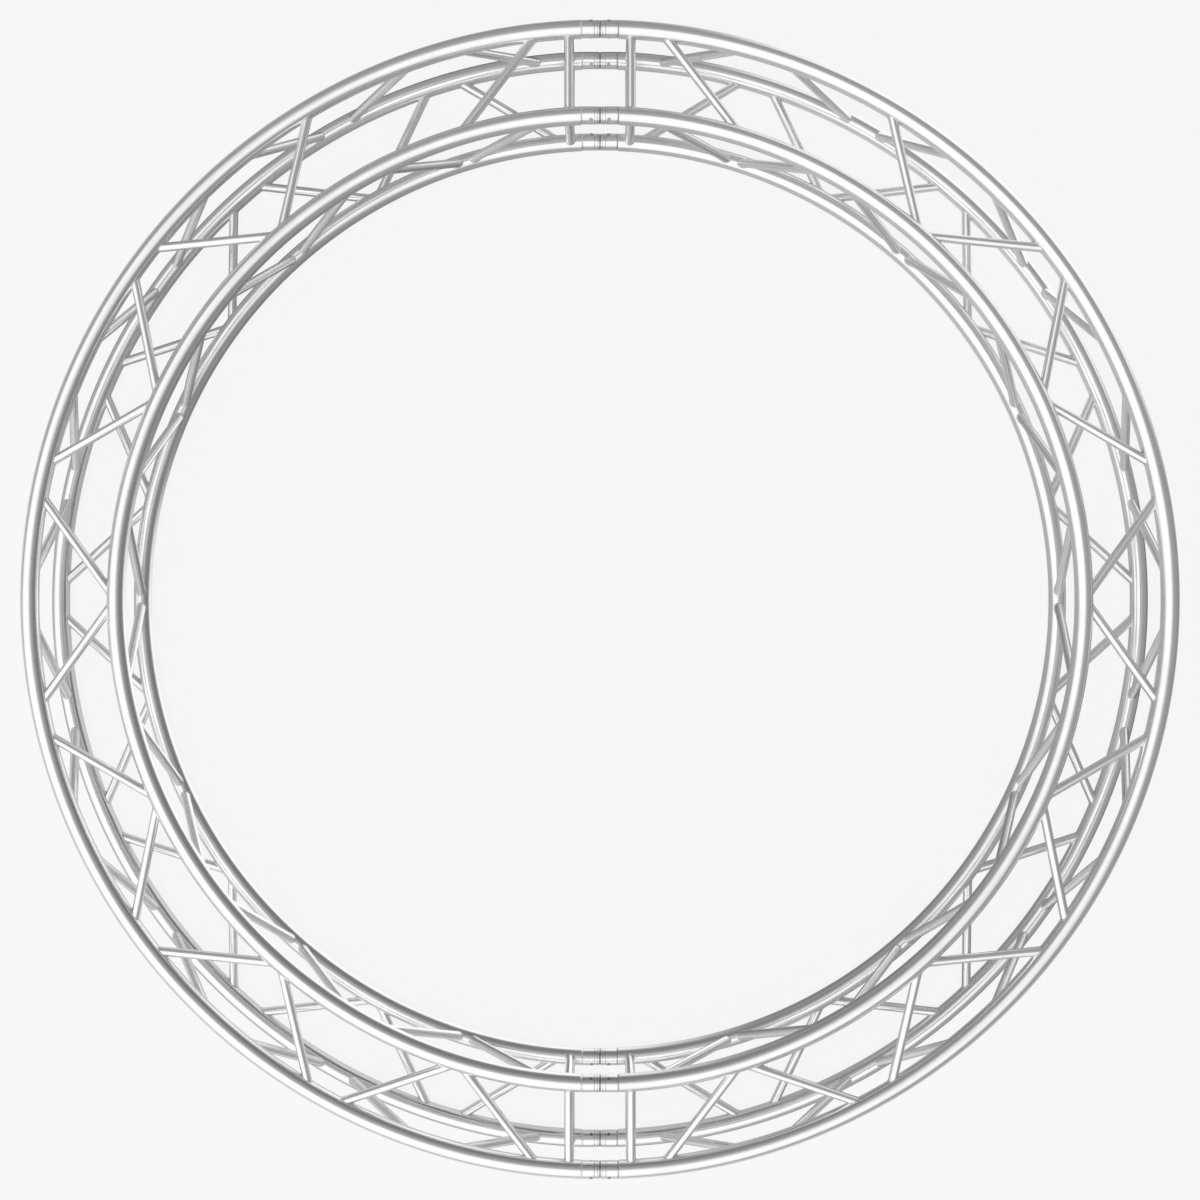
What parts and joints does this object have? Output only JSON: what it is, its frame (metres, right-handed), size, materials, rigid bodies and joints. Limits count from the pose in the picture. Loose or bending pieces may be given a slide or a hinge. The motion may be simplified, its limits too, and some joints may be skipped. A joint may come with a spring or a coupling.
{
  "type": "circular box truss",
  "caption": "Square box truss bent to a closed circle: two halves of welded aluminium tube joined by conical couplers and taper pins.",
  "frame": {"origin": "centre of the ring on the plane it rests on", "axes": "+Z is the ring's axis, upwards; +Y points to the rear joint and -Y to the front joint; +X points to the middle of the right half"},
  "size_m": [3.224, 3.2224, 0.29],
  "materials": {
    "chord_tube": "mill-finish extruded tube, satin",
    "brace_tube": "mill-finish drawn tube, satin",
    "receiver": "turned aluminium, fine tool marks",
    "coupler": "turned aluminium, satin",
    "taper_pin": "zinc-plated steel, satin"
  },
  "bodies": {
    "ring": {"right_outer_upper_chord": "chord_tube", "right_inner_upper_chord": "chord_tube", "right_outer_lower_chord": "chord_tube", "right_inner_lower_chord": "chord_tube", "left_outer_upper_chord": "chord_tube", "left_inner_upper_chord": "chord_tube", "left_outer_lower_chord": "chord_tube", "left_inner_lower_chord": "chord_tube", "right_top_lacing": "brace_tube", "right_bottom_lacing": "brace_tube", "right_outer_lacing": "brace_tube", "right_inner_lacing": "brace_tube", "left_top_lacing": "brace_tube", "left_bottom_lacing": "brace_tube", "left_outer_lacing": "brace_tube", "left_inner_lacing": "brace_tube", "rear_right_end_braces": "brace_tube", "rear_left_end_braces": "brace_tube", "front_right_end_braces": "brace_tube", "front_left_end_braces": "brace_tube", "rear_right_outer_upper_receiver": "receiver", "rear_right_inner_upper_receiver": "receiver", "rear_right_outer_lower_receiver": "receiver", "rear_right_inner_lower_receiver": "receiver", "rear_left_outer_upper_receiver": "receiver", "rear_left_inner_upper_receiver": "receiver", "rear_left_outer_lower_receiver": "receiver", "rear_left_inner_lower_receiver": "receiver", "front_right_outer_upper_receiver": "receiver", "front_right_inner_upper_receiver": "receiver", "front_right_outer_lower_receiver": "receiver", "front_right_inner_lower_receiver": "receiver", "front_left_outer_upper_receiver": "receiver", "front_left_inner_upper_receiver": "receiver", "front_left_outer_lower_receiver": "receiver", "front_left_inner_lower_receiver": "receiver", "rear_outer_upper_coupler": "coupler", "rear_inner_upper_coupler": "coupler", "rear_outer_lower_coupler": "coupler", "rear_inner_lower_coupler": "coupler", "front_outer_upper_coupler": "coupler", "front_inner_upper_coupler": "coupler", "front_outer_lower_coupler": "coupler", "front_inner_lower_coupler": "coupler"},
    "rear_right_outer_upper_pin": {"rear_right_outer_upper_pin": "taper_pin"},
    "rear_right_inner_upper_pin": {"rear_right_inner_upper_pin": "taper_pin"},
    "rear_right_outer_lower_pin": {"rear_right_outer_lower_pin": "taper_pin"},
    "rear_right_inner_lower_pin": {"rear_right_inner_lower_pin": "taper_pin"},
    "rear_left_outer_upper_pin": {"rear_left_outer_upper_pin": "taper_pin"},
    "rear_left_inner_upper_pin": {"rear_left_inner_upper_pin": "taper_pin"},
    "rear_left_outer_lower_pin": {"rear_left_outer_lower_pin": "taper_pin"},
    "rear_left_inner_lower_pin": {"rear_left_inner_lower_pin": "taper_pin"},
    "front_right_outer_upper_pin": {"front_right_outer_upper_pin": "taper_pin"},
    "front_right_inner_upper_pin": {"front_right_inner_upper_pin": "taper_pin"},
    "front_right_outer_lower_pin": {"front_right_outer_lower_pin": "taper_pin"},
    "front_right_inner_lower_pin": {"front_right_inner_lower_pin": "taper_pin"},
    "front_left_outer_upper_pin": {"front_left_outer_upper_pin": "taper_pin"},
    "front_left_inner_upper_pin": {"front_left_inner_upper_pin": "taper_pin"},
    "front_left_outer_lower_pin": {"front_left_outer_lower_pin": "taper_pin"},
    "front_left_inner_lower_pin": {"front_left_inner_lower_pin": "taper_pin"}
  },
  "joints": [
    {"name": "rear_right_outer_upper_pin_slide", "type": "slide", "parent": "ring", "child": "rear_right_outer_upper_pin", "axis": [0, 0.7071, 0.7071], "range_m": [0, 0.06]},
    {"name": "rear_right_inner_upper_pin_slide", "type": "slide", "parent": "ring", "child": "rear_right_inner_upper_pin", "axis": [0, -0.7071, 0.7071], "range_m": [0, 0.06]},
    {"name": "rear_right_outer_lower_pin_slide", "type": "slide", "parent": "ring", "child": "rear_right_outer_lower_pin", "axis": [0, -0.7071, 0.7071], "range_m": [0, 0.06]},
    {"name": "rear_right_inner_lower_pin_slide", "type": "slide", "parent": "ring", "child": "rear_right_inner_lower_pin", "axis": [0, 0.7071, 0.7071], "range_m": [0, 0.06]},
    {"name": "rear_left_outer_upper_pin_slide", "type": "slide", "parent": "ring", "child": "rear_left_outer_upper_pin", "axis": [0, 0.7071, 0.7071], "range_m": [0, 0.06]},
    {"name": "rear_left_inner_upper_pin_slide", "type": "slide", "parent": "ring", "child": "rear_left_inner_upper_pin", "axis": [0, -0.7071, 0.7071], "range_m": [0, 0.06]},
    {"name": "rear_left_outer_lower_pin_slide", "type": "slide", "parent": "ring", "child": "rear_left_outer_lower_pin", "axis": [0, -0.7071, 0.7071], "range_m": [0, 0.06]},
    {"name": "rear_left_inner_lower_pin_slide", "type": "slide", "parent": "ring", "child": "rear_left_inner_lower_pin", "axis": [0, 0.7071, 0.7071], "range_m": [0, 0.06]},
    {"name": "front_right_outer_upper_pin_slide", "type": "slide", "parent": "ring", "child": "front_right_outer_upper_pin", "axis": [0, -0.7071, 0.7071], "range_m": [0, 0.06]},
    {"name": "front_right_inner_upper_pin_slide", "type": "slide", "parent": "ring", "child": "front_right_inner_upper_pin", "axis": [0, 0.7071, 0.7071], "range_m": [0, 0.06]},
    {"name": "front_right_outer_lower_pin_slide", "type": "slide", "parent": "ring", "child": "front_right_outer_lower_pin", "axis": [0, 0.7071, 0.7071], "range_m": [0, 0.06]},
    {"name": "front_right_inner_lower_pin_slide", "type": "slide", "parent": "ring", "child": "front_right_inner_lower_pin", "axis": [0, -0.7071, 0.7071], "range_m": [0, 0.06]},
    {"name": "front_left_outer_upper_pin_slide", "type": "slide", "parent": "ring", "child": "front_left_outer_upper_pin", "axis": [0, -0.7071, 0.7071], "range_m": [0, 0.06]},
    {"name": "front_left_inner_upper_pin_slide", "type": "slide", "parent": "ring", "child": "front_left_inner_upper_pin", "axis": [0, 0.7071, 0.7071], "range_m": [0, 0.06]},
    {"name": "front_left_outer_lower_pin_slide", "type": "slide", "parent": "ring", "child": "front_left_outer_lower_pin", "axis": [0, 0.7071, 0.7071], "range_m": [0, 0.06]},
    {"name": "front_left_inner_lower_pin_slide", "type": "slide", "parent": "ring", "child": "front_left_inner_lower_pin", "axis": [0, -0.7071, 0.7071], "range_m": [0, 0.06]}
  ]
}
